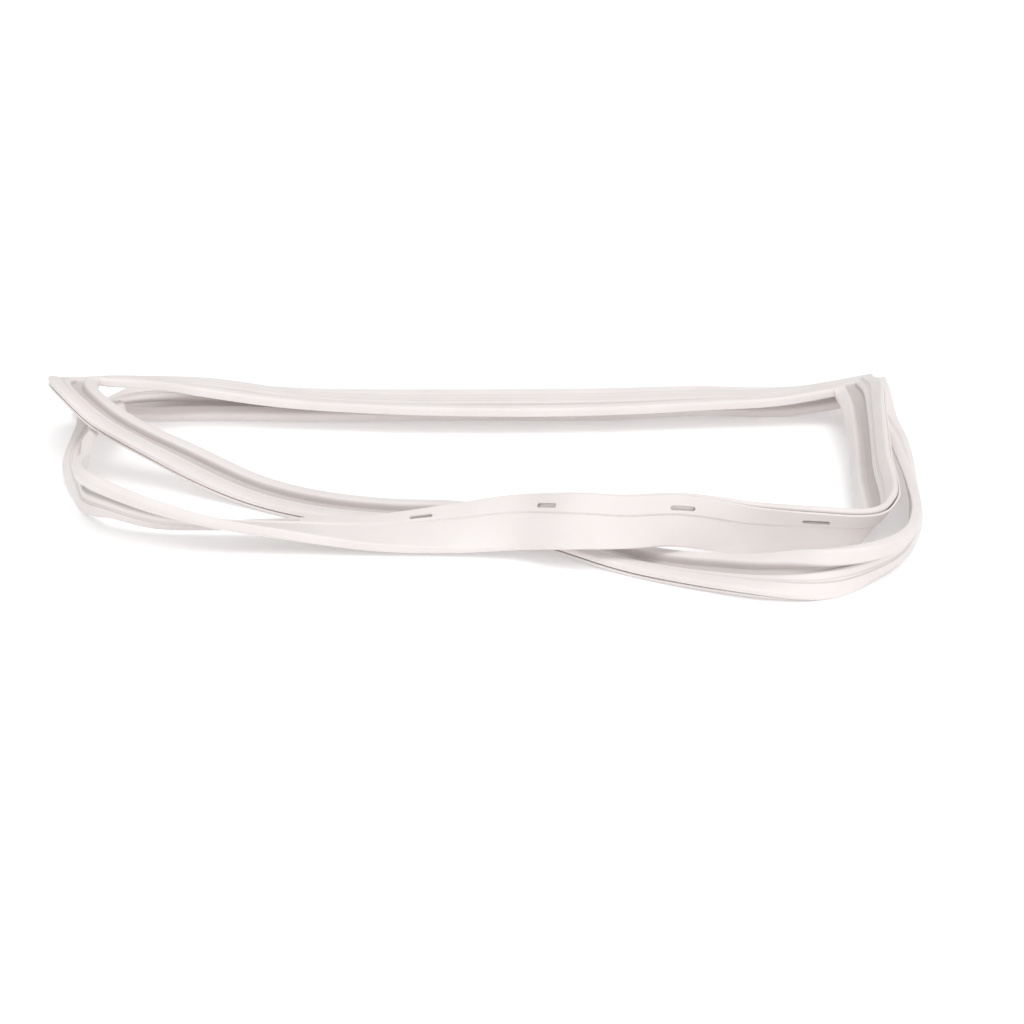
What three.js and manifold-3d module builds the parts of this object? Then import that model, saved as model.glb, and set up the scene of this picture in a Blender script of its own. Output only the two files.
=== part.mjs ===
// Refrigerator door gasket: one flexible vinyl profile, welded at four mitred corners into a
// rectangle, with a magnet strip in the tube of each side. It lies as it is stored: coiled into two
// turns, so that the two short sides are at the back and the two long sides swing round the front.
// Millimetres, +Z up, the camera side is -Y. The floor is Z = 0.

import * as THREE from 'three';
import Module from 'manifold-3d';
import { mergeVertices } from 'three/addons/utils/BufferGeometryUtils.js';

const wasm = await Module();
wasm.setup();

// Section of the strip: u is measured from the plain edge towards the flange edge, v towards the
// sealing side. v = 0 is the smooth back face.
const STRIP_WIDTH = 42;
const WALL = 1.3;
const BULB_WIDTH = 13;
const BULB_HEIGHT = 8;
const BULB_ROUND = 4;
const BULB_FOOT_ROUND = 1.6;
const WEB_WIDTH = 9.6;
const WEB_THICKNESS = 1.6;
const FLANGE_WIDTH = 13.5;
const FLANGE_THICKNESS = 1.8;
const FLANGE_STEP = 1;
const TUBE_GAP = 1.2;
const TUBE_HEIGHT = 5.4;
const TUBE_OVERHANG = 1.2;
const TUBE_ROUND = 2.4;
const RIB_WIDTH = 1.9;
const RIB_HEIGHT = 0.8;
const POCKET_HEIGHT = 2.8;
const POCKET_SIDE = 0.4;

// How far the sealing face lies below its crown: at its outer edge, beside the pocket, on both
// sides of the rib and at the shoulder above the web.
const EDGE_FALL = 0.3;
const POCKET_FALL = 0.7;
const RIB_FALL = 1.4;
const RIB_FOOT_FALL = 1.6;
const SHOULDER_FALL = 2.3;
const SHOULDER_SET_BACK = 1.2;
const SHOULDER_ROUND = 2;

// The chamber's roof starts below the shoulder and rises towards the flange.
const ROOF_BELOW_SHOULDER = 0.8;
const ROOF_SET_BACK = 0.8;
const ROOF_RISE = 0.5;

// Magnet strip, loose in the pocket of the tube.
const MAGNET_WIDTH = 8;
const MAGNET_CLEARANCE = 0.3;

// Slots that the retaining screws pass through, along the flange.
const SLOT_PITCH = 101.6;
const SLOT_LENGTH = 18;
const SLOT_WIDTH = 3.6;
const SLOT_FROM_STEP = 4.2;
const SLOT_FROM_CORNER = 98;
const SLOT_END_MARGIN = 50;

// Vent holes, which let air out of the closed chambers beside each corner.
const VENT_DIAMETER = 2.4;
const VENT_FROM_CORNER = 42;

// Mesh steps: samples between two keys, then the longest stretch, the sharpest bend and the most
// twist between two rings.
const SAMPLES_PER_KEY = 24;
const MAX_STEP = 110;
const MAX_BEND = 20;
const MAX_TWIST = 20;
const CORNER_CLEAR = 7;

// Colours and finish.
const VINYL = { color: 0xeeeae7, roughness: 0.45, metalness: 0 };
const FERRITE = { color: 0x3a3430, roughness: 0.8, metalness: 0 };

// The spine runs through the middle of the strip.
const SPINE_U = 22;
const SPINE_V = 3;

// How much narrower the strip gets where its web is pinched shut.
const PINCH_WIDTH = 8;

// How each side lies: x, y, z of the spine, the roll in degrees and, where the web is pinched, how
// far, from 0 to 1. Roll 0 is flat with the sealing side up, and a positive roll lifts the flange
// edge. The sides follow each other clockwise, seen from above, and each one starts where the last
// one ends.
const SIDES = {
  upper_back: [
    [-385, 211, 46, -22],
    [-354, 215, 43, -15],
    [-290, 242, 31, -6],
    [-192, 236, 20, -6],
    [-100, 226, 18, -4],
    [-28, 224, 18, -1],
    [80, 228, 18, 0],
    [176, 238, 20, -3],
    [233, 244, 21, -4],
    [311, 253, 31, -6],
  ],
  inner_long: [
    [311, 253, 31, 10],
    [316, 208, 36, 26],
    [303, 138, 37, 45],
    [286, 18, 29, 54],
    [275, -68, 21, 55],
    [258, -100, 23, 58],
    [222, -106, 26, 61],
    [176, -98, 23, 80, 0.1],
    [118, -109, 32, 103, 0.5],
    [80, -117, 33.5, 108, 0.45],
    [48, -115, 34.5, 113, 0.2],
    [3, -89, 25, 128],
    [-44, -78, 16, 148],
    [-104, -74, 11, 170],
    [-161, -72, 13, 187],
    [-234, -70, 18, 210],
    [-275, -63, 23, 229],
    [-315, -43, 29, 244],
    [-332, -16, 25, 259],
    [-342, 23, 21, 283],
    [-358, 87, 22, 310],
    [-358, 169, 24, 343],
    [-379, 252, 10, 369],
  ],
  lower_back: [
    [-379, 252, 10, -10],
    [-338, 261, 4, 1],
    [-283, 264, 8, 11],
    [-192, 259, 9, 15],
    [-28, 260, 10, 18],
    [84, 262, 10, 19],
    [176, 269, 11, 16],
    [246, 276, 8, 15],
    [327, 276, 18, 5],
  ],
  outer_long: [
    [327, 276, 18, 9],
    [326, 235, 15, -17],
    [328, 168, 15, -39],
    [319, 67, 22, -60],
    [307, -38, 20, -72, 0.3],
    [294, -85, 20, -84, 0.7],
    [275, -122, 20, -92, 1],
    [251, -146, 20, -80, 1],
    [222, -161, 18, -50, 0.6],
    [184, -162, 12, -22, 0.1],
    [141, -144, 7.2, -9],
    [95, -117, 4, -1],
    [41, -78, 6, 3],
    [-2, -48, 9, 2],
    [-44, -32, 9, 0],
    [-99, -20, 6, -3],
    [-151, -2, 5, -3],
    [-210, 33, 7, -1],
    [-271, 66, 24, -5],
    [-333, 97, 46, 5],
    [-367, 133, 62, 24],
    [-385, 211, 46, 8],
  ],
};

const UP = new THREE.Vector3(0, 0, 1);

// Heights of the section that the pieces share.
const FLANGE_START = STRIP_WIDTH - FLANGE_WIDTH;
const FLANGE_TOP = FLANGE_THICKNESS - FLANGE_STEP;
const TUBE_BOTTOM = FLANGE_TOP + TUBE_GAP;
const TUBE_TOP = TUBE_BOTTOM + TUBE_HEIGHT;
const TUBE_END = STRIP_WIDTH + TUBE_OVERHANG;
const TUBE_START = BULB_WIDTH + WEB_WIDTH;
const POCKET_BOTTOM = TUBE_BOTTOM + WALL;
const POCKET_WIDTH = MAGNET_WIDTH + 2 * MAGNET_CLEARANCE;
const POCKET_END = TUBE_END - WALL - POCKET_SIDE;
const POCKET_START = POCKET_END - POCKET_WIDTH;
const POCKET_CROWN = (POCKET_START + POCKET_END) / 2;
const RIB_START = POCKET_START - WALL - RIB_WIDTH;

// Corners of an outline, each [u, v, radius, steps], with every round one turned into an arc.
function rounded(corners) {
  const points = [];
  corners.forEach(([u, v, radius = 0, steps = 2], i) => {
    const here = new THREE.Vector2(u, v);
    if (radius === 0) {
      points.push(here);
      return;
    }
    const before = corners[(i + corners.length - 1) % corners.length];
    const after = corners[(i + 1) % corners.length];
    const back = new THREE.Vector2(before[0], before[1]).sub(here).normalize();
    const on = new THREE.Vector2(after[0], after[1]).sub(here).normalize();
    const start = here.clone().addScaledVector(back, radius);
    const end = here.clone().addScaledVector(on, radius);
    const arc = new THREE.QuadraticBezierCurve(start, here, end);
    points.push(...arc.getPoints(steps));
  });
  return points;
}

// The outside of the section, anticlockwise.
function outerOutline() {
  return rounded([
    [0, 0, BULB_FOOT_ROUND, 1],
    [BULB_WIDTH, 0],
    [FLANGE_START - FLANGE_STEP, 0],
    [FLANGE_START, -FLANGE_STEP],
    [STRIP_WIDTH, -FLANGE_STEP],
    [STRIP_WIDTH, FLANGE_TOP],
    [FLANGE_START, FLANGE_TOP],
    [FLANGE_START, TUBE_BOTTOM],
    [TUBE_END, TUBE_BOTTOM, TUBE_ROUND],
    [TUBE_END, TUBE_TOP - EDGE_FALL, TUBE_ROUND],
    [POCKET_CROWN, TUBE_TOP],
    [POCKET_START - WALL, TUBE_TOP - POCKET_FALL],
    [RIB_START + RIB_WIDTH, TUBE_TOP - RIB_FALL],
    [RIB_START + RIB_WIDTH / 2, TUBE_TOP - RIB_FALL + RIB_HEIGHT],
    [RIB_START, TUBE_TOP - RIB_FOOT_FALL],
    [TUBE_START + SHOULDER_SET_BACK, TUBE_TOP - SHOULDER_FALL, SHOULDER_ROUND, 1],
    [TUBE_START, WEB_THICKNESS],
    [BULB_WIDTH, WEB_THICKNESS],
    [BULB_WIDTH, BULB_HEIGHT, BULB_ROUND],
    [0, BULB_HEIGHT, BULB_ROUND],
  ]);
}

// The hollow in the plain edge's bulb, the chamber beside the magnet and the magnet's pocket.
function hollowOutlines() {
  const bulbRound = BULB_ROUND - WALL;
  const bulb = rounded([
    [WALL, WALL],
    [BULB_WIDTH - WALL, WALL],
    [BULB_WIDTH - WALL, BULB_HEIGHT - WALL, bulbRound, 1],
    [WALL, BULB_HEIGHT - WALL, bulbRound, 1],
  ]);
  const roof = TUBE_TOP - SHOULDER_FALL - ROOF_BELOW_SHOULDER - WALL;
  const chamber = [
    new THREE.Vector2(TUBE_START + WALL, WALL),
    new THREE.Vector2(FLANGE_START - WALL, WALL),
    new THREE.Vector2(FLANGE_START - WALL, roof + ROOF_RISE),
    new THREE.Vector2(TUBE_START + WALL + ROOF_SET_BACK, roof),
  ];
  const pocket = box(POCKET_START, POCKET_BOTTOM, POCKET_END, POCKET_BOTTOM + POCKET_HEIGHT);
  return [bulb, chamber, pocket];
}

function box(u0, v0, u1, v1) {
  return [
    new THREE.Vector2(u0, v0),
    new THREE.Vector2(u1, v0),
    new THREE.Vector2(u1, v1),
    new THREE.Vector2(u0, v1),
  ];
}

// A smooth curve through keys of several numbers, as cubic pieces over the distance between the keys.
function smoothKeys(keys) {
  const place = (key) => new THREE.Vector3(key[0], key[1], key[2]);
  const gaps = keys.slice(1).map((key, i) => place(key).distanceTo(place(keys[i])));
  const slopes = gaps.map((gap, i) => keys[i].map((value, k) => (keys[i + 1][k] - value) / gap));
  const last = keys.length - 1;
  const tangents = keys.map((key, i) => {
    if (i === 0 || i === last) {
      return null;
    }
    const weight = gaps[i - 1] + gaps[i];
    return key.map((_, k) => (slopes[i][k] * gaps[i - 1] + slopes[i - 1][k] * gaps[i]) / weight);
  });
  tangents[0] = slopes[0].map((value, k) => 1.5 * value - 0.5 * tangents[1][k]);
  tangents[last] = slopes[last - 1].map((value, k) => 1.5 * value - 0.5 * tangents[last - 1][k]);
  return (at) => {
    const i = Math.min(Math.floor(at), last - 1);
    const t = at - i;
    const a = 2 * t ** 3 - 3 * t ** 2 + 1;
    const b = (t ** 3 - 2 * t ** 2 + t) * gaps[i];
    const c = 3 * t ** 2 - 2 * t ** 3;
    const d = (t ** 3 - t ** 2) * gaps[i];
    return keys[i].map(
      (value, k) => a * value + b * tangents[i][k] + c * keys[i + 1][k] + d * tangents[i + 1][k],
    );
  };
}

// Directions across the strip (across, towards the flange) and out of its sealing side (normal).
function frameAt(tangent, rollDegrees) {
  const outward = new THREE.Vector3().crossVectors(UP, tangent).normalize();
  const lift = new THREE.Vector3().crossVectors(tangent, outward);
  const roll = THREE.MathUtils.degToRad(rollDegrees);
  const across = outward.clone().multiplyScalar(Math.cos(roll)).addScaledVector(lift, Math.sin(roll));
  const normal = outward.clone().multiplyScalar(-Math.sin(roll)).addScaledVector(lift, Math.cos(roll));
  return { across, normal };
}

function rollOf(tangent, normal, near) {
  const flat = frameAt(tangent, 0);
  const sine = -normal.dot(flat.across);
  const roll = THREE.MathUtils.radToDeg(Math.atan2(sine, normal.dot(flat.normal)));
  return roll + 360 * Math.round((near - roll) / 360);
}

// Fine samples of a side, with the tangent at each and the distance along it.
function sampleSide(keys) {
  const curve = smoothKeys(keys);
  const count = (keys.length - 1) * SAMPLES_PER_KEY;
  const samples = [];
  for (let i = 0; i <= count; i++) {
    const [x, y, z, roll, pinch] = curve((i * (keys.length - 1)) / count);
    samples.push({ point: new THREE.Vector3(x, y, z), roll, pinch });
  }
  samples.forEach((sample, i) => {
    const from = samples[Math.max(i - 1, 0)].point;
    const to = samples[Math.min(i + 1, count)].point;
    sample.tangent = to.clone().sub(from).normalize();
    sample.along = i === 0 ? 0 : samples[i - 1].along + sample.point.distanceTo(samples[i - 1].point);
  });
  return samples;
}

// The four sides in order, with the roll at each end taken from the corner that they share.
function layOutSides() {
  const names = Object.keys(SIDES);
  const sides = names.map((name) => ({
    name,
    keys: SIDES[name].map(([x, y, z, roll, pinch = 0]) => [x, y, z, roll, pinch]),
  }));
  sides.forEach((side) => {
    side.samples = sampleSide(side.keys);
  });
  sides.forEach((side, i) => {
    const next = sides[(i + 1) % sides.length];
    const arriving = side.samples.at(-1).tangent;
    const leaving = next.samples[0].tangent;
    const normal = new THREE.Vector3().crossVectors(leaving, arriving).normalize();
    const half = Math.acos(arriving.dot(leaving)) / 2;
    const across = new THREE.Vector3().crossVectors(normal, arriving);
    across.addScaledVector(arriving, Math.tan(half));
    next.corner = { point: next.samples[0].point, across, normal, pinch: 0 };
    side.keys.at(-1)[3] = rollOf(arriving, normal, side.keys.at(-1)[3]);
    next.keys[0][3] = rollOf(leaving, normal, next.keys[0][3]);
  });
  sides.forEach((side) => {
    side.samples = sampleSide(side.keys);
    side.rings = ringsOf(side.samples);
  });
  return sides;
}

// Rings between two mitres, closer together where the strip bends or twists.
function ringsOf(samples) {
  const clear = SPINE_U + CORNER_CLEAR;
  const length = samples.at(-1).along;
  const inside = samples.filter(({ along }) => along >= clear && along <= length - clear);
  const effort = [0];
  for (let i = 1; i < inside.length; i++) {
    const bend = THREE.MathUtils.radToDeg(inside[i].tangent.angleTo(inside[i - 1].tangent));
    const twist = Math.abs(inside[i].roll - inside[i - 1].roll);
    const step = inside[i].along - inside[i - 1].along;
    effort.push(effort[i - 1] + Math.hypot(step / MAX_STEP, bend / MAX_BEND, twist / MAX_TWIST));
  }
  const count = Math.ceil(effort.at(-1));
  const rings = [];
  for (let i = 0; i <= count; i++) {
    const wanted = (effort.at(-1) * i) / count;
    const at = effort.findIndex((value) => value >= wanted - 1e-9);
    const { point, tangent, roll, along, pinch } = inside[at];
    rings.push({ point, along, pinch, ...frameAt(tangent, roll) });
  }
  return rings;
}

// Where a point of the section lies across the strip, once the web is pinched.
function pinchedAcross(u, pinch) {
  const open = THREE.MathUtils.clamp((TUBE_START - u) / WEB_WIDTH, 0, 1);
  return u + open * pinch * PINCH_WIDTH;
}

function placeOnRing(ring, { x, y }) {
  return ring.point
    .clone()
    .addScaledVector(ring.across, pinchedAcross(x, ring.pinch) - SPINE_U)
    .addScaledVector(ring.normal, y - SPINE_V);
}

// Skin between rings: outlines are anticlockwise, and a hollow's skin faces into the hollow. The
// diagonals of two faces that lie along each other run the same way, so that a wall stays a wall
// where the strip is twisted.
function skin(rings, outlines, closed) {
  const vertices = [];
  const triangles = [];
  let first = 0;
  outlines.forEach(({ points, hollow }) => {
    const size = points.length;
    rings.forEach((ring) => points.forEach((p) => vertices.push(...placeOnRing(ring, p).toArray())));
    const spans = closed ? rings.length : rings.length - 1;
    for (let i = 0; i < spans; i++) {
      const here = first + i * size;
      const there = first + ((i + 1) % rings.length) * size;
      for (let k = 0; k < size; k++) {
        const m = (k + 1) % size;
        const rising = points[m].x + points[m].y > points[k].x + points[k].y;
        const quad = rising
          ? [here + k, here + m, there + m, here + k, there + m, there + k]
          : [here + k, here + m, there + k, here + m, there + m, there + k];
        triangles.push(...(hollow ? quad.reverse() : quad));
      }
    }
    if (!closed) {
      for (let k = 1; k < size - 1; k++) {
        const end = first + (rings.length - 1) * size;
        triangles.push(first, first + k + 1, first + k, end, end + k, end + k + 1);
      }
    }
    first = vertices.length / 3;
  });
  return { vertices, triangles };
}

function solidOf({ vertices, triangles }) {
  return new wasm.Manifold(
    new wasm.Mesh({
      numProp: 3,
      vertProperties: new Float32Array(vertices),
      triVerts: new Uint32Array(triangles),
    }),
  );
}

function solidOfGeometry(geometry) {
  geometry.deleteAttribute('normal');
  geometry.deleteAttribute('uv');
  const merged = mergeVertices(geometry);
  return solidOf({ vertices: merged.attributes.position.array, triangles: merged.index.array });
}

function geometryOf(solid) {
  const mesh = solid.getMesh();
  const geometry = new THREE.BufferGeometry();
  geometry.setAttribute('position', new THREE.Float32BufferAttribute(mesh.vertProperties, 3));
  geometry.setIndex(Array.from(mesh.triVerts));
  geometry.computeVertexNormals();
  return geometry;
}

// A place on the strip at a distance from the side's start, between the two nearest rings.
function stationAt(side, along) {
  const i = Math.max(side.rings.findIndex((ring) => ring.along > along), 1);
  const [a, b] = [side.rings[i - 1], side.rings[i]];
  const share = (along - a.along) / (b.along - a.along);
  const point = a.point.clone().lerp(b.point, share);
  const across = a.across.clone().lerp(b.across, share).normalize();
  const forward = b.point.clone().sub(a.point);
  forward.addScaledVector(across, -forward.dot(across)).normalize();
  const normal = new THREE.Vector3().crossVectors(forward, across);
  return { point, across, forward, normal, pinch: 0 };
}

// A cutter whose outline lies along and across the strip, from v0 to v1 out of its back.
function cutter(shape, station, u, v0, v1, curveSegments) {
  const geometry = new THREE.ExtrudeGeometry(shape, {
    depth: v1 - v0,
    bevelEnabled: false,
    curveSegments,
  });
  geometry.applyMatrix4(
    new THREE.Matrix4()
      .makeBasis(station.forward, station.across, station.normal)
      .setPosition(placeOnRing(station, { x: u, y: v0 })),
  );
  return solidOfGeometry(geometry);
}

function slotShape() {
  const shape = new THREE.Shape();
  const straight = (SLOT_LENGTH - SLOT_WIDTH) / 2;
  shape.absarc(straight, 0, SLOT_WIDTH / 2, -Math.PI / 2, Math.PI / 2);
  shape.absarc(-straight, 0, SLOT_WIDTH / 2, Math.PI / 2, (3 * Math.PI) / 2);
  return shape;
}

function ventShape() {
  const shape = new THREE.Shape();
  shape.absarc(0, 0, VENT_DIAMETER / 2, 0, 2 * Math.PI);
  return shape;
}

function lengthOf(side) {
  return side.samples.at(-1).along;
}

// Screw slots at one pitch, from the corner where the side starts.
function slotCutters(side) {
  const u = FLANGE_START + SLOT_FROM_STEP;
  const last = lengthOf(side) - SLOT_END_MARGIN;
  const cutters = [];
  for (let along = SLOT_FROM_CORNER; along <= last; along += SLOT_PITCH) {
    const station = stationAt(side, along);
    cutters.push(cutter(slotShape(), station, u, -2 * FLANGE_STEP, FLANGE_TOP + TUBE_GAP / 2, 2));
  }
  return cutters;
}

// Vents from the back into the bulb and into the chamber, and one from the flange's gap up into the
// magnet's pocket.
function ventCutters(side) {
  const station = stationAt(side, VENT_FROM_CORNER);
  const below = -FLANGE_STEP;
  const chamberMiddle = (TUBE_START + FLANGE_START) / 2;
  const pocketMiddle = POCKET_BOTTOM + POCKET_HEIGHT / 2;
  return [
    cutter(ventShape(), station, BULB_WIDTH / 2, below, BULB_HEIGHT / 2, 3),
    cutter(ventShape(), station, chamberMiddle, below, 2 * WALL, 3),
    cutter(ventShape(), station, POCKET_CROWN, FLANGE_TOP + TUBE_GAP / 2, pocketMiddle, 3),
  ];
}

// The whole frame is one body, so its rings run through the four mitres and close on themselves.
function makeGasket(sides) {
  const rings = sides.flatMap((side) => [side.corner, ...side.rings]);
  const outlines = [
    { points: outerOutline(), hollow: false },
    ...hollowOutlines().map((points) => ({ points, hollow: true })),
  ];
  const cutters = sides.flatMap((side) => [...slotCutters(side), ...ventCutters(side)]);
  const frame = solidOf(skin(rings, outlines, true));
  return frame.subtract(wasm.Manifold.union(cutters));
}

// A magnet strip lies loose in its pocket and stops short of the mitres.
function makeMagnet(side) {
  const outline = box(
    POCKET_START + MAGNET_CLEARANCE,
    POCKET_BOTTOM + MAGNET_CLEARANCE,
    POCKET_END - MAGNET_CLEARANCE,
    POCKET_BOTTOM + POCKET_HEIGHT - MAGNET_CLEARANCE,
  );
  return solidOf(skin(side.rings, [{ points: outline, hollow: false }], false));
}

function addPiece(group, name, solid, finish) {
  const piece = new THREE.Mesh(geometryOf(solid), new THREE.MeshStandardMaterial(finish));
  piece.name = name;
  group.add(piece);
}

const sides = layOutSides();
const doorGasket = new THREE.Group();
doorGasket.name = 'door_gasket';
addPiece(doorGasket, 'gasket', makeGasket(sides), VINYL);
sides.forEach((side) => {
  addPiece(doorGasket, `magnet_${side.name}`, makeMagnet(side), FERRITE);
});

// The origin is under the middle of the part, on the floor.
const box3 = new THREE.Box3().setFromObject(doorGasket);
const middle = box3.getCenter(new THREE.Vector3());
doorGasket.position.set(-middle.x, -middle.y, -box3.min.z);

export default doorGasket;
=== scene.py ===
# Refrigerator door gasket, coiled in two turns on a pale floor.
# The section and the route follow the solid's closely and are in millimetres.
# Everything is built in metres, in the part's own frame.

import math

import bpy
import bmesh
import numpy as np
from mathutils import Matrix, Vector


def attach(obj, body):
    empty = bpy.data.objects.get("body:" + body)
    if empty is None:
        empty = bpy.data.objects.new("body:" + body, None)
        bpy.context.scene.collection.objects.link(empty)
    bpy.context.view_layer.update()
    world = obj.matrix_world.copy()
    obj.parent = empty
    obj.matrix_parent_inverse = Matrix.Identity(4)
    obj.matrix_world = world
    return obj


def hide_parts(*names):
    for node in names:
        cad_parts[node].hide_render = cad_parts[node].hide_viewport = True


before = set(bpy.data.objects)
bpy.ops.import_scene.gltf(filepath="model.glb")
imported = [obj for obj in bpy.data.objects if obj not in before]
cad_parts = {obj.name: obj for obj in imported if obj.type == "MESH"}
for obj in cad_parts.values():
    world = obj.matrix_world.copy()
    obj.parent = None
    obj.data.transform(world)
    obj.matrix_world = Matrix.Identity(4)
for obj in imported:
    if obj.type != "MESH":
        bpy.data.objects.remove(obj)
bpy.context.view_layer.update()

MM = 0.001

# Where the route's own zero lies in the part's frame, in millimetres.
ORIGIN = np.array([29.646, -57.275, 1.179])

# Section of the strip: u from the plain edge to the flange edge, v out of the smooth back.
# The gap between flange and tube is narrower than the solid's, so that it hardly shows as a line.
STRIP_WIDTH = 42.0
WALL = 1.3
BULB_WIDTH = 13.0
BULB_HEIGHT = 8.0
BULB_ROUND = 4.0
BULB_FOOT_ROUND = 1.6
WEB_WIDTH = 9.6
WEB_THICKNESS = 1.6
FLANGE_WIDTH = 13.5
FLANGE_THICKNESS = 1.8
FLANGE_STEP = 1.0
TUBE_GAP = 0.9
TUBE_HEIGHT = 5.4
TUBE_OVERHANG = 1.2
TUBE_ROUND = 2.4
RIB_WIDTH = 1.9
RIB_HEIGHT = 0.8
MAGNET_WIDTH = 8.0
MAGNET_HEIGHT = 2.2
MAGNET_CLEARANCE = 0.3
POCKET_SIDE = 0.4

# How far the sealing face lies below its crown, from the outer edge to the shoulder.
EDGE_FALL = 0.3
POCKET_FALL = 0.7
RIB_FALL = 1.4
RIB_FOOT_FALL = 1.6
SHOULDER_FALL = 2.3
SHOULDER_SET_BACK = 1.2
SHOULDER_ROUND = 2.0

FLANGE_START = STRIP_WIDTH - FLANGE_WIDTH
FLANGE_TOP = FLANGE_THICKNESS - FLANGE_STEP
TUBE_BOTTOM = FLANGE_TOP + TUBE_GAP
TUBE_TOP = TUBE_BOTTOM + TUBE_HEIGHT
TUBE_END = STRIP_WIDTH + TUBE_OVERHANG
TUBE_START = BULB_WIDTH + WEB_WIDTH
POCKET_END = TUBE_END - WALL - POCKET_SIDE
POCKET_START = POCKET_END - MAGNET_WIDTH - 2 * MAGNET_CLEARANCE
POCKET_CROWN = (POCKET_START + POCKET_END) / 2
RIB_START = POCKET_START - WALL - RIB_WIDTH

# The fine groove along the step of the flange.
GROOVE_WIDTH = 1.5
GROOVE_DEPTH = 0.55

# Screw slots along the flange.
SLOT_PITCH = 101.6
SLOT_LENGTH = 18.0
SLOT_WIDTH = 3.6
SLOT_FROM_CORNER = 98.0
SLOT_END_MARGIN = 50.0
SLOT_FROM_STEP = 4.2

# The inner long side runs a little shorter here than in the solid, so its slots start sooner.
FRONT_SLOT_SHIFT = 4.0

# Half of a slot's outline, along and across: its tip, the middle of its round end and its side.
SLOT_TIP = SLOT_LENGTH / 2
SLOT_SIDE = SLOT_WIDTH / 2
SLOT_STRAIGHT = SLOT_TIP - SLOT_SIDE
SLOT_ROUND = SLOT_SIDE * math.sqrt(0.5)
SLOT_MIDDLE = FLANGE_START + SLOT_FROM_STEP
SLOT_COLUMNS = (-SLOT_SIDE, -SLOT_ROUND, 0.0, SLOT_ROUND, SLOT_SIDE)
SLOT_INNER_RINGS = 3

# The spine runs through the middle of the strip. Near a mitre the strip is straight.
SPINE_U = 22.0
SPINE_V = 3.0
CORNER_CLEAR = 7.0
MITRE_REACH = SPINE_U + CORNER_CLEAR

# How finely the curves are divided: along the strip, near the mitres and around the section.
SAMPLES_PER_SPAN = 40
RING_STEP = 4.0
MITRE_RINGS = 8
LONGEST_EDGE = 2.2
LONGEST_MAGNET_EDGE = 2.7

# Edges turned by more than this stay crisp.
SHARP_ANGLE = math.radians(50)

# How much narrower the strip gets where its web is pinched shut.
PINCH_WIDTH = 8.0

# How far the soft vinyl stands off its nominal section, in long and in short waves.
RELIEF_LONG = 0.14
RELIEF_SHORT = 0.03
RELIEF_PHASES = {"upper_back": 0.7, "inner_long": 2.1, "lower_back": 4.4, "outer_long": 5.6}

# The camera, from the route's zero, in millimetres, with its tilt in degrees from straight down.
CAMERA_FRONT = 1409.5
CAMERA_UP = 513.0
CAMERA_TILT = 70
CAMERA_LENS = 66.75

# How each side lies, close to the solid's route: x, y, z of the spine, the roll in degrees and,
# where the web is pinched, how far, from 0 to 1.
SIDES = {
    "upper_back": [
        (-385, 211, 46, -22), (-354, 215, 45, -10), (-290, 242, 33, -1), (-192, 236, 22, -2),
        (-100, 226, 20, -1), (-28, 224, 20, 2), (80, 228, 20, 3), (176, 238, 21, 0),
        (233, 244, 21, -4), (311, 253, 31, -6),
    ],
    "inner_long": [
        (311, 253, 31, 10), (310, 208, 36, 32), (302, 138, 37, 49), (286, 18, 29, 54),
        (275, -68, 21, 55), (258, -100, 23, 58), (222, -106, 26, 61), (176, -98, 23, 80, 0.1),
        (118, -109, 32, 103, 0.5), (80, -117, 33.5, 108, 0.45), (48, -115, 34.5, 113, 0.2),
        (3, -89, 25, 128), (-44, -78, 16, 148), (-104, -74, 11, 170), (-161, -72, 13, 187),
        (-234, -70, 18, 210), (-275, -63, 23, 229), (-315, -43, 29, 244), (-332, -16, 25, 259),
        (-342, 23, 21, 283), (-358, 87, 22, 310), (-358, 169, 24, 343), (-379, 252, 10, 369),
    ],
    "lower_back": [
        (-379, 252, 10, -10), (-338, 257, 13.5, 28), (-283, 260, 13.5, 28), (-192, 258, 11, 21),
        (-28, 260, 10, 18), (84, 262, 10, 19), (176, 269, 11, 16), (246, 276, 8, 15),
        (327, 276, 18, 5),
    ],
    "outer_long": [
        (327, 276, 18, 9), (326, 235, 15, -17), (328, 168, 15, -39), (319, 67, 22, -60),
        (308, -38, 20.6, -78, 0.6), (297, -88, 20.7, -98, 1.1), (280, -127, 21.2, -110, 1.2),
        (256, -152, 21.2, -104, 1.2), (225, -166, 18.5, -72, 1), (186, -163, 12.5, -27, 0.4),
        (141, -144, 7.2, -9), (95, -117, 4, -1), (41, -78, 6, 3), (-2, -48, 9, 2), (-44, -32, 9, 0),
        (-99, -20, 6, -3), (-151, -2, 5, -3), (-210, 33, 7, -1), (-271, 66, 24, -5, 0.3),
        (-333, 97, 46, 5, 0.4), (-366, 133, 58, 18, 0.2), (-385, 211, 46, 8),
    ],
}


def rounded(corners):
    """Corners of an outline, each (u, v, radius, steps), with every round one turned into an arc."""
    points = []
    count = len(corners)
    for i, corner in enumerate(corners):
        here = np.array(corner[:2], float)
        radius = corner[2] if len(corner) > 2 else 0.0
        steps = corner[3] if len(corner) > 3 else 8
        if radius == 0.0:
            points.append(here)
            continue
        before = np.array(corners[i - 1][:2], float) - here
        after = np.array(corners[(i + 1) % count][:2], float) - here
        start = here + before / np.linalg.norm(before) * radius
        end = here + after / np.linalg.norm(after) * radius
        for k in range(steps + 1):
            t = k / steps
            points.append((1 - t) ** 2 * start + 2 * t * (1 - t) * here + t * t * end)
    return points


def divided(points, longest):
    """The same outline with no edge longer than the given length."""
    result = []
    for i, here in enumerate(points):
        there = points[(i + 1) % len(points)]
        parts = max(1, math.ceil(np.linalg.norm(there - here) / longest))
        for k in range(parts):
            result.append(here + (there - here) * k / parts)
    return np.array(result)


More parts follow.
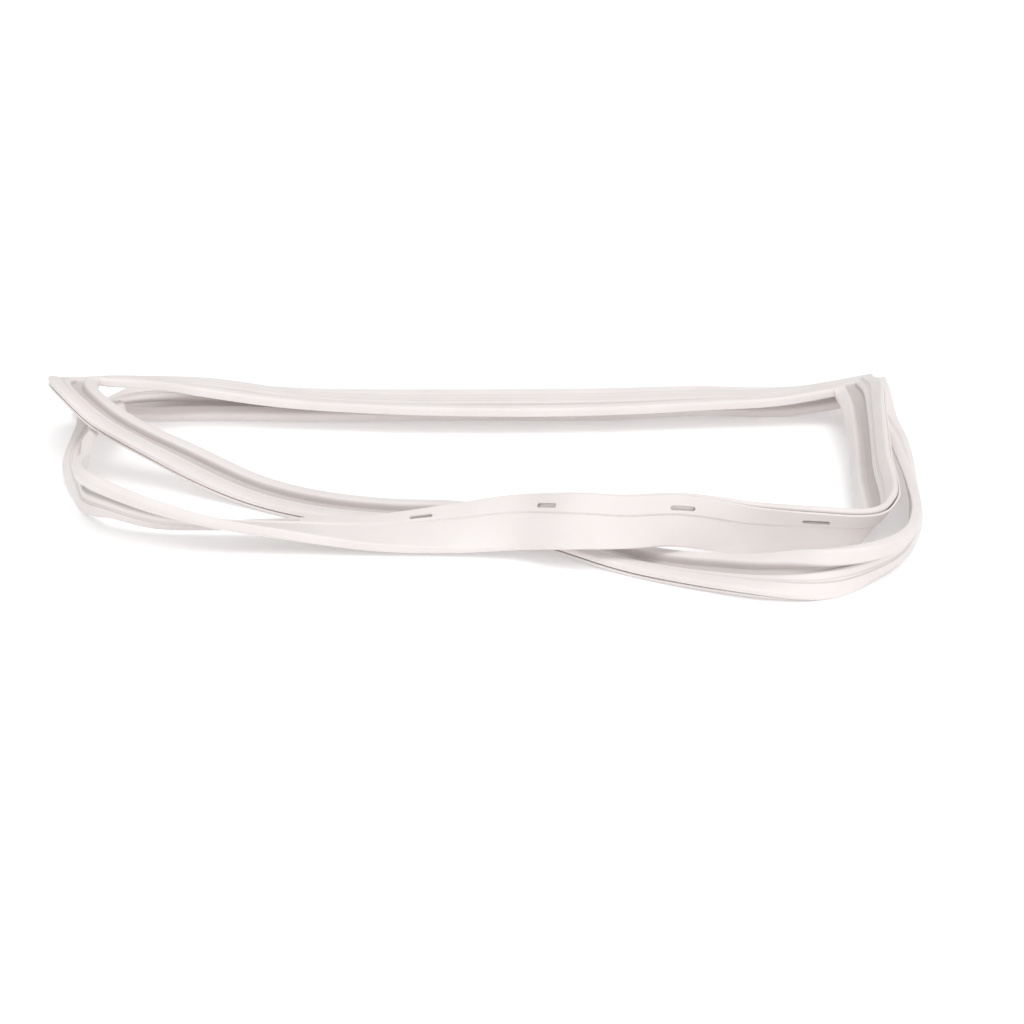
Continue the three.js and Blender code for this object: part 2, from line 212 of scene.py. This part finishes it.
def outer_outline():
    """The outside of the section, anticlockwise, with a column at each place that a slot needs."""
    groove = FLANGE_START - FLANGE_STEP
    return divided(rounded([
        (0, 0, BULB_FOOT_ROUND, 5),
        (groove - GROOVE_WIDTH / 2, 0, 0.25, 3),
        (groove, GROOVE_DEPTH, 0.2, 2),
        (groove + GROOVE_WIDTH / 3, 0.1),
        (FLANGE_START, -FLANGE_STEP, 0.4, 4),
        *[(SLOT_MIDDLE + offset, -FLANGE_STEP) for offset in SLOT_COLUMNS],
        (STRIP_WIDTH, -FLANGE_STEP, 0.5, 4),
        (STRIP_WIDTH, FLANGE_TOP, 0.5, 4),
        *[(SLOT_MIDDLE + offset, FLANGE_TOP) for offset in reversed(SLOT_COLUMNS)],
        (FLANGE_START, FLANGE_TOP, 0.3, 3),
        (FLANGE_START, TUBE_BOTTOM, 0.3, 3),
        (TUBE_END, TUBE_BOTTOM, TUBE_ROUND, 8),
        (TUBE_END, TUBE_TOP - EDGE_FALL, TUBE_ROUND, 8),
        (POCKET_CROWN, TUBE_TOP, 3.0, 4),
        (POCKET_START - WALL, TUBE_TOP - POCKET_FALL, 0.4, 3),
        (RIB_START + RIB_WIDTH, TUBE_TOP - RIB_FALL, 0.3, 3),
        (RIB_START + RIB_WIDTH / 2, TUBE_TOP - RIB_FALL + RIB_HEIGHT, 0.5, 4),
        (RIB_START, TUBE_TOP - RIB_FOOT_FALL, 0.3, 3),
        (TUBE_START + SHOULDER_SET_BACK, TUBE_TOP - SHOULDER_FALL, SHOULDER_ROUND, 7),
        (TUBE_START, WEB_THICKNESS, 0.8, 5),
        (BULB_WIDTH, WEB_THICKNESS, 0.8, 5),
        (BULB_WIDTH, BULB_HEIGHT, BULB_ROUND, 9),
        (0, BULB_HEIGHT, BULB_ROUND, 9),
    ]), LONGEST_EDGE)


def smooth_keys(keys, per_span):
    """Points of a smooth curve through keys, as cubic pieces over the distance between the keys."""
    keys = np.array(keys, float)
    gaps = np.linalg.norm(np.diff(keys[:, :3], axis=0), axis=1)
    slopes = np.diff(keys, axis=0) / gaps[:, None]
    tangents = np.zeros_like(keys)
    for i in range(1, len(keys) - 1):
        tangents[i] = (slopes[i] * gaps[i - 1] + slopes[i - 1] * gaps[i]) / (gaps[i - 1] + gaps[i])
    tangents[0] = 1.5 * slopes[0] - 0.5 * tangents[1]
    tangents[-1] = 1.5 * slopes[-1] - 0.5 * tangents[-2]
    rows = []
    for i in range(len(keys) - 1):
        t = np.linspace(0, 1, per_span, endpoint=False)[:, None]
        rows.append(
            (2 * t**3 - 3 * t**2 + 1) * keys[i]
            + (t**3 - 2 * t**2 + t) * gaps[i] * tangents[i]
            + (3 * t**2 - 2 * t**3) * keys[i + 1]
            + (t**3 - t**2) * gaps[i] * tangents[i + 1]
        )
    rows.append(keys[-1:])
    return np.vstack(rows)


def unit(vectors):
    return vectors / np.linalg.norm(vectors, axis=-1, keepdims=True)


def frames_at(tangents, rolls):
    """Directions across the strip and out of its sealing side, from the tangents and the rolls."""
    outward = unit(np.cross([0.0, 0.0, 1.0], tangents))
    lift = np.cross(tangents, outward)
    angle = np.radians(rolls)[..., None]
    across = outward * np.cos(angle) + lift * np.sin(angle)
    normal = -outward * np.sin(angle) + lift * np.cos(angle)
    return across, normal


def roll_of(tangent, normal, near):
    across, up = frames_at(tangent[None], np.array([0.0]))
    roll = math.degrees(math.atan2(-float(normal @ across[0]), float(normal @ up[0])))
    return roll + 360 * round((near - roll) / 360)


class Side:
    """One side of the gasket: its spine, which gives a place and a frame at any distance."""

    def __init__(self, name, keys):
        self.name = name
        self.keys = [list(key) + [0.0] * (5 - len(key)) for key in keys]
        self.sample()

    def sample(self):
        rows = smooth_keys(self.keys, SAMPLES_PER_SPAN)
        self.points = rows[:, :3]
        self.rolls = rows[:, 3]
        self.pinches = rows[:, 4]
        self.along = np.concatenate(
            [[0.0], np.cumsum(np.linalg.norm(np.diff(self.points, axis=0), axis=1))]
        )
        self.length = self.along[-1]
        step = np.gradient(self.points, axis=0)
        step[0] = self.points[1] - self.points[0]
        step[-1] = self.points[-1] - self.points[-2]
        self.tangents = unit(step)

    def at(self, along):
        """Place, tangent and roll at each distance, running straight on past both ends."""
        inside = np.clip(along, 0.0, self.length)
        point = np.stack([np.interp(inside, self.along, self.points[:, k]) for k in range(3)], -1)
        tangent = unit(
            np.stack([np.interp(inside, self.along, self.tangents[:, k]) for k in range(3)], -1)
        )
        roll = np.interp(inside, self.along, self.rolls)
        return point + tangent * (along - inside)[..., None], tangent, roll

    def pinch_at(self, along):
        return np.interp(along, self.along, self.pinches)


def lay_out_sides():
    sides = [Side(name, keys) for name, keys in SIDES.items()]
    for i, side in enumerate(sides):
        following = sides[(i + 1) % len(sides)]
        arriving = side.tangents[-1]
        leaving = following.tangents[0]
        normal = unit(np.cross(leaving, arriving))
        side.end_half = following.start_half = math.acos(float(arriving @ leaving)) / 2
        side.keys[-1][3] = roll_of(arriving, normal, side.keys[-1][3])
        following.keys[0][3] = roll_of(leaving, normal, following.keys[0][3])
    for side in sides:
        side.sample()
    return sides


def blend(t):
    t = np.clip(t, 0.0, 1.0)
    return t * t * (3 - 2 * t)


def relief(side, along, u):
    """How far the soft vinyl stands off its nominal section, along the strip's normal, in mm."""
    phase = RELIEF_PHASES[side.name]
    wave = RELIEF_LONG * np.sin(along / 53.0 + phase) * np.sin(u / 11.0 + along / 83.0)
    wave += RELIEF_SHORT * np.sin(along / 19.0 + 3 * phase + u / 8.0)
    return wave


def place(side, along, u, v):
    """Places of section points at distances along a side. The ends run out to the mitres."""
    to_start = np.clip(1 - along / MITRE_REACH, 0.0, 1.0)
    to_end = np.clip(1 - (side.length - along) / MITRE_REACH, 0.0, 1.0)
    shift = -(u - SPINE_U) * math.tan(side.start_half) * to_start
    shift = shift + (u - SPINE_U) * math.tan(side.end_half) * to_end
    actual = along + shift
    point, tangent, roll = side.at(actual)
    across, normal = frames_at(tangent, roll)
    web = np.clip((TUBE_START - u) / WEB_WIDTH, 0.0, 1.0)
    u = u + web * side.pinch_at(along) * PINCH_WIDTH
    off = relief(side, along, u) * blend((1 - to_start - to_end) * 1.4)
    curved = point + across * (u - SPINE_U)[..., None] + normal * (v - SPINE_V + off)[..., None]
    result = curved
    for share, end in ((to_start, 0.0), (to_end, side.length)):
        base, forward, turn = side.at(np.full(along.shape, end))
        flat_across, flat_normal = frames_at(forward, turn)
        straight = (
            base
            + forward * (actual - end)[..., None]
            + flat_across * (u - SPINE_U)[..., None]
            + flat_normal * (v - SPINE_V)[..., None]
        )
        weight = blend(share)[..., None]
        result = result * (1 - weight) + straight * weight
    return result


def slot_stations(side):
    count = int((side.length - SLOT_FROM_CORNER - SLOT_END_MARGIN) // SLOT_PITCH) + 1
    first = SLOT_FROM_CORNER - (FRONT_SLOT_SHIFT if side.name == "inner_long" else 0.0)
    return [first + i * SLOT_PITCH for i in range(count)]


def ring_distances(side):
    """Distances of the rings along a side, with a ring at each place that a slot's outline needs."""
    ends = np.linspace(0, MITRE_REACH, MITRE_RINGS + 1)[:-1]
    count = max(2, round((side.length - 2 * MITRE_REACH) / RING_STEP))
    middle = np.linspace(MITRE_REACH, side.length - MITRE_REACH, count + 1)
    tip = (SLOT_STRAIGHT, SLOT_STRAIGHT + SLOT_ROUND, SLOT_TIP)
    inner = np.linspace(-SLOT_STRAIGHT, SLOT_STRAIGHT, SLOT_INNER_RINGS + 2)[1:-1]
    offsets = np.concatenate([[-x for x in tip[::-1]], inner, tip])
    for station in slot_stations(side):
        middle = middle[np.abs(middle - station) > SLOT_TIP + RING_STEP / 3]
        middle = np.concatenate([middle, station + offsets])
    return np.concatenate([ends, np.sort(middle), (side.length - ends[::-1])[:-1]])


def cut_slots(outline, distances, stations, first, faces):
    """Opens the slots of one side: drops their cells, keeps their corners and adds their walls."""
    size = len(outline)
    columns = []
    for height in (-FLANGE_STEP, FLANGE_TOP):
        flat = np.abs(outline[:, 1] - height) < 1e-6
        gaps = [np.where(flat, np.abs(outline[:, 0] - SLOT_MIDDLE - x), 1e9) for x in SLOT_COLUMNS]
        columns.append([int(np.argmin(gap)) for gap in gaps])

    def vertex(level, ring, column):
        return (first + ring) * size + columns[level][column]

    for station in stations:
        rings = [int(i) for i in np.flatnonzero(np.abs(distances - station) < SLOT_TIP + 1e-6)]
        low, high = rings[0], rings[-1]
        loop = [(low, 2), (low + 1, 1)] + [(i, 0) for i in range(low + 2, high - 1)]
        loop += [(high - 1, 1), (high, 2), (high - 1, 3)]
        loop += [(i, 4) for i in range(high - 2, low + 1, -1)] + [(low + 1, 3)]
        for level, places in enumerate(columns):
            cells = {min(a, b) for a, b in zip(places, places[1:])}
            for ring in range(low, high):
                for cell in cells:
                    faces.pop((first + ring, cell), None)
            for ring, turn in ((low, 1), (high, -1)):
                near = ring + turn
                for corner, edge in ((1, 0), (3, 4)):
                    faces[first + ring, "end", level, corner] = (
                        vertex(level, ring, 2),
                        vertex(level, ring, corner),
                        vertex(level, near, corner),
                    )
                    faces[first + ring, "outer", level, corner] = (
                        vertex(level, ring, corner),
                        vertex(level, ring, edge),
                        vertex(level, near, edge),
                        vertex(level, near, corner),
                    )
                    faces[first + near, "round", level, corner] = (
                        vertex(level, near, corner),
                        vertex(level, near, edge),
                        vertex(level, near + turn, edge),
                    )
        for (ring, column), (next_ring, next_column) in zip(loop, loop[1:] + loop[:1]):
            faces[first + ring, "wall", next_ring, column] = (
                vertex(0, ring, column),
                vertex(0, next_ring, next_column),
                vertex(1, next_ring, next_column),
                vertex(1, ring, column),
            )


def make_strip(sides):
    """The skin of the whole gasket, closed on itself. It keeps its own distances for the paint."""
    outline = outer_outline()
    size = len(outline)
    distances = [ring_distances(side) for side in sides]
    rings = sum(len(along) for along in distances)
    faces = {
        (ring, k): (
            ring * size + k,
            ring * size + (k + 1) % size,
            (ring + 1) % rings * size + (k + 1) % size,
            (ring + 1) % rings * size + k,
        )
        for ring in range(rings)
        for k in range(size)
    }
    rows = []
    first = 0
    for side, along in zip(sides, distances):
        grid_along = np.repeat(along[:, None], size, 1)
        grid_u = np.repeat(outline[None, :, 0], len(along), 0)
        grid_v = np.repeat(outline[None, :, 1], len(along), 0)
        rows.append(place(side, grid_along, grid_u, grid_v))
        cut_slots(outline, along, slot_stations(side), first, faces)
        first += len(along)
    vertices = ((np.concatenate(rows) + ORIGIN) * MM).reshape(-1, 3)
    mesh = bpy.data.meshes.new("vinyl_strip")
    mesh.from_pydata(vertices.tolist(), [], list(faces.values()))
    numbers = [np.full(len(along), float(i)) for i, along in enumerate(distances)]
    for name, values in (
        ("along", np.repeat(np.concatenate(distances)[:, None], size, 1) * MM),
        ("across", np.repeat(outline[None, :, 0], rings, 0) * MM),
        ("height", np.repeat(outline[None, :, 1], rings, 0) * MM),
        ("side", np.repeat(np.concatenate(numbers)[:, None], size, 1)),
    ):
        layer = mesh.attributes.new(name, "FLOAT", "POINT")
        layer.data.foreach_set("value", values.astype(np.float32).ravel())
    bm = bmesh.new()
    bm.from_mesh(mesh)
    loose = [vertex for vertex in bm.verts if not vertex.link_faces]
    bmesh.ops.delete(bm, geom=loose, context="VERTS")
    bmesh.ops.recalc_face_normals(bm, faces=bm.faces)
    bm.to_mesh(mesh)
    bm.free()
    mesh.validate()
    mesh.update()
    strip = bpy.data.objects.new("vinyl_strip", mesh)
    bpy.context.scene.collection.objects.link(strip)
    return strip


def make_magnet(side):
    """The magnet strip that lies in one side's pocket, between the mitres."""
    gap = MAGNET_CLEARANCE
    bottom = TUBE_BOTTOM + WALL
    outline = divided(rounded([
        (POCKET_START + gap, bottom + gap, 0.4, 3),
        (POCKET_END - gap, bottom + gap, 0.4, 3),
        (POCKET_END - gap, bottom + MAGNET_HEIGHT + gap, 0.4, 3),
        (POCKET_START + gap, bottom + MAGNET_HEIGHT + gap, 0.4, 3),
    ]), LONGEST_MAGNET_EDGE)
    size = len(outline)
    count = round((side.length - 2 * MITRE_REACH) / RING_STEP)
    along = np.linspace(MITRE_REACH, side.length - MITRE_REACH, count)
    grid = place(
        side,
        np.repeat(along[:, None], size, 1),
        np.repeat(outline[None, :, 0], len(along), 0),
        np.repeat(outline[None, :, 1], len(along), 0),
    )
    vertices = ((grid + ORIGIN) * MM).reshape(-1, 3)
    faces = [
        (
            ring * size + k,
            ring * size + (k + 1) % size,
            (ring + 1) * size + (k + 1) % size,
            (ring + 1) * size + k,
        )
        for ring in range(len(along) - 1)
        for k in range(size)
    ]
    faces.append(tuple(range(size))[::-1])
    faces.append(tuple((len(along) - 1) * size + k for k in range(size)))
    mesh = bpy.data.meshes.new(f"ferrite_{side.name}")
    mesh.from_pydata(vertices.tolist(), [], faces)
    mesh.update()
    mesh.shade_smooth()
    mesh.set_sharp_from_angle(angle=SHARP_ANGLE)
    magnet = bpy.data.objects.new(f"ferrite_{side.name}", mesh)
    bpy.context.scene.collection.objects.link(magnet)
    return magnet


def nodes_of(name):
    material = bpy.data.materials.new(name)
    material.use_nodes = True
    tree = material.node_tree
    tree.nodes.clear()
    output = tree.nodes.new("ShaderNodeOutputMaterial")
    shader = tree.nodes.new("ShaderNodeBsdfPrincipled")
    tree.links.new(shader.outputs[0], output.inputs[0])
    return material, tree, shader


def add(tree, kind, **settings):
    node = tree.nodes.new(kind)
    for key, value in settings.items():
        setattr(node, key, value)
    return node


def attribute(tree, name):
    return add(tree, "ShaderNodeAttribute", attribute_name=name).outputs["Fac"]


def noise(tree, scale, detail, vector):
    node = add(tree, "ShaderNodeTexNoise")
    node.inputs["Scale"].default_value = scale
    node.inputs["Detail"].default_value = detail
    tree.links.new(vector, node.inputs["Vector"])
    return node.outputs["Fac"]


def two_tones(tree, factor, dark, light, dark_at=0.0, light_at=1.0):
    node = add(tree, "ShaderNodeValToRGB")
    node.color_ramp.elements[0].position = dark_at
    node.color_ramp.elements[0].color = (*dark, 1)
    node.color_ramp.elements[1].position = light_at
    node.color_ramp.elements[1].color = (*light, 1)
    tree.links.new(factor, node.inputs["Fac"])
    return node.outputs["Color"]


def bump(tree, strength, distance, height):
    node = add(tree, "ShaderNodeBump")
    node.inputs["Strength"].default_value = strength
    node.inputs["Distance"].default_value = distance
    tree.links.new(height, node.inputs["Height"])
    return node


def maths(tree, operation, first, second):
    node = add(tree, "ShaderNodeMath", operation=operation)
    tree.links.new(first, node.inputs[0])
    if isinstance(second, float):
        node.inputs[1].default_value = second
    else:
        tree.links.new(second, node.inputs[1])
    return node.outputs[0]


def ramp(tree, source, edge, soft, low=0.0, high=1.0):
    """A soft change from one value to another where the source passes an edge."""
    node = add(tree, "ShaderNodeMapRange", interpolation_type="SMOOTHSTEP")
    node.inputs["From Min"].default_value = (edge - soft) * MM
    node.inputs["From Max"].default_value = (edge + soft) * MM
    node.inputs["To Min"].default_value = low
    node.inputs["To Max"].default_value = high
    tree.links.new(source, node.inputs["Value"])
    return node.outputs["Result"]


def vinyl_material():
    """Satin, slightly warm white vinyl: drawn lines along the strip, mottling, and painted shade in
    the groove and at both feet of the rib.
    """
    material, tree, shader = nodes_of("vinyl")
    link = tree.links.new
    across = attribute(tree, "across")
    strip_space = add(tree, "ShaderNodeCombineXYZ")
    link(attribute(tree, "along"), strip_space.inputs[0])
    link(across, strip_space.inputs[1])
    link(attribute(tree, "side"), strip_space.inputs[2])
    stretched = add(tree, "ShaderNodeVectorMath", operation="MULTIPLY")
    stretched.inputs[1].default_value = (12.0, 2600.0, 7.0)
    link(strip_space.outputs[0], stretched.inputs[0])
    lines = noise(tree, 1.0, 3.0, stretched.outputs[0])
    places = add(tree, "ShaderNodeTexCoord").outputs["Object"]
    mottle = noise(tree, 22.0, 5.0, places)
    grain = noise(tree, 1900.0, 2.0, places)
    vinyl_tone = two_tones(tree, mottle, (0.815, 0.762, 0.746), (0.850, 0.802, 0.787), 0.32, 0.66)
    # Painted shade: the groove between bulb and tube and the creases at both feet of the rib are
    # darkened in the colour, on the sealing side only.
    groove_shade = None
    for low, high, soft, share in (
        (BULB_WIDTH - 1.0, TUBE_START + 1.2, 1.4, 0.40),
        (RIB_START + RIB_WIDTH - 0.5, RIB_START + RIB_WIDTH + 0.7, 0.5, 0.22),
        (RIB_START - 0.9, RIB_START + 0.3, 0.5, 0.22),
    ):
        rise = ramp(tree, across, low, soft)
        fall = ramp(tree, across, high, soft, share, 0.0)
        band = maths(tree, "MULTIPLY", rise, fall)
        groove_shade = band if groove_shade is None else maths(tree, "MAXIMUM", groove_shade, band)
    height = attribute(tree, "height")
    outside = maths(tree, "GREATER_THAN", height, WEB_THICKNESS * 0.6 * MM)
    # Mixes the painted groove and crease shade into the vinyl's own tone.
    groove_shade_mix = add(tree, "ShaderNodeMix", data_type="RGBA", blend_type="MIX")
    groove_shade_mix.inputs["B"].default_value = (0.36, 0.32, 0.30, 1)
    link(maths(tree, "MULTIPLY", groove_shade, outside), groove_shade_mix.inputs["Factor"])
    link(vinyl_tone, groove_shade_mix.inputs["A"])
    link(groove_shade_mix.outputs["Result"], shader.inputs["Base Color"])
    rough = add(tree, "ShaderNodeMapRange")
    rough.inputs["To Min"].default_value = 0.36
    rough.inputs["To Max"].default_value = 0.54
    link(lines, rough.inputs["Value"])
    link(rough.outputs["Result"], shader.inputs["Roughness"])
    drawn = bump(tree, 0.12, 0.0002, lines)
    fine = bump(tree, 0.08, 0.0001, grain)
    link(drawn.outputs["Normal"], fine.inputs["Normal"])
    link(fine.outputs["Normal"], shader.inputs["Normal"])
    shader.inputs["Subsurface Weight"].default_value = 0.12
    shader.inputs["Subsurface Radius"].default_value = (0.0012, 0.0008, 0.0006)
    shader.inputs["Subsurface Scale"].default_value = 1.0
    shader.inputs["IOR"].default_value = 1.5
    return material


def magnet_material():
    """Matt, dark brown bonded ferrite with a fine grain."""
    material, tree, shader = nodes_of("magnet")
    grain = noise(tree, 900.0, 2.0, add(tree, "ShaderNodeTexCoord").outputs["Object"])
    colour = two_tones(tree, grain, (0.035, 0.028, 0.024), (0.070, 0.058, 0.050))
    tree.links.new(colour, shader.inputs["Base Color"])
    fine = bump(tree, 0.2, 0.0001, grain)
    tree.links.new(fine.outputs["Normal"], shader.inputs["Normal"])
    shader.inputs["Roughness"].default_value = 0.78
    return material


def floor_material():
    material, tree, shader = nodes_of("floor")
    shader.inputs["Base Color"].default_value = (0.9, 0.9, 0.9, 1)
    shader.inputs["Emission Color"].default_value = (1, 1, 1, 1)
    shader.inputs["Emission Strength"].default_value = 0.22
    shader.inputs["Roughness"].default_value = 0.9
    shader.inputs["Specular IOR Level"].default_value = 0.1
    return material


def add_sun(name, towards, strength, softness):
    """A soft, even light from far away, which shines along the given direction."""
    light = bpy.data.lights.new(name, "SUN")
    light.energy = strength
    light.angle = math.radians(softness)
    lamp = bpy.data.objects.new(name, light)
    lamp.rotation_euler = Vector(towards).to_track_quat("-Z", "Y").to_euler()
    bpy.context.scene.collection.objects.link(lamp)


def make_stage():
    mesh = bpy.data.meshes.new("floor")
    reach = 40.0
    mesh.from_pydata(
        [(-reach, -reach, 0), (reach, -reach, 0), (reach, reach, 0), (-reach, reach, 0)],
        [],
        [(0, 1, 2, 3)],
    )
    floor = bpy.data.objects.new("floor", mesh)
    floor.data.materials.append(floor_material())
    bpy.context.scene.collection.objects.link(floor)
    world = bpy.data.worlds.new("studio")
    world.use_nodes = True
    world.node_tree.nodes["Background"].inputs[0].default_value = (1, 1, 1, 1)
    world.node_tree.nodes["Background"].inputs[1].default_value = 0.6
    bpy.context.scene.world = world
    bpy.context.scene.view_settings.view_transform = "Standard"
    add_sun("overhead", (-0.1, 0.3, -1), 1.2, 45)
    add_sun("front", (-0.25, 1, -0.45), 0.5, 60)


def make_camera():
    data = bpy.data.cameras.new("camera")
    data.sensor_width = 36.0
    data.lens = CAMERA_LENS
    data.clip_end = 100
    camera = bpy.data.objects.new("camera", data)
    camera.location = (
        ORIGIN[0] * MM,
        (ORIGIN[1] - CAMERA_FRONT) * MM,
        (ORIGIN[2] + CAMERA_UP) * MM,
    )
    camera.rotation_euler = (math.radians(CAMERA_TILT), 0, 0)
    bpy.context.scene.collection.objects.link(camera)
    bpy.context.scene.camera = camera


make_camera()
make_stage()

sides = lay_out_sides()
strip = make_strip(sides)
strip.data.materials.append(vinyl_material())
strip.data.shade_smooth()
strip.data.set_sharp_from_angle(angle=SHARP_ANGLE)
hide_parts("gasket")
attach(strip, "root")

ferrite = magnet_material()
for side in sides:
    magnet = make_magnet(side)
    magnet.data.materials.append(ferrite)
    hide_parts(f"magnet_{side.name}")
    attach(magnet, "root")
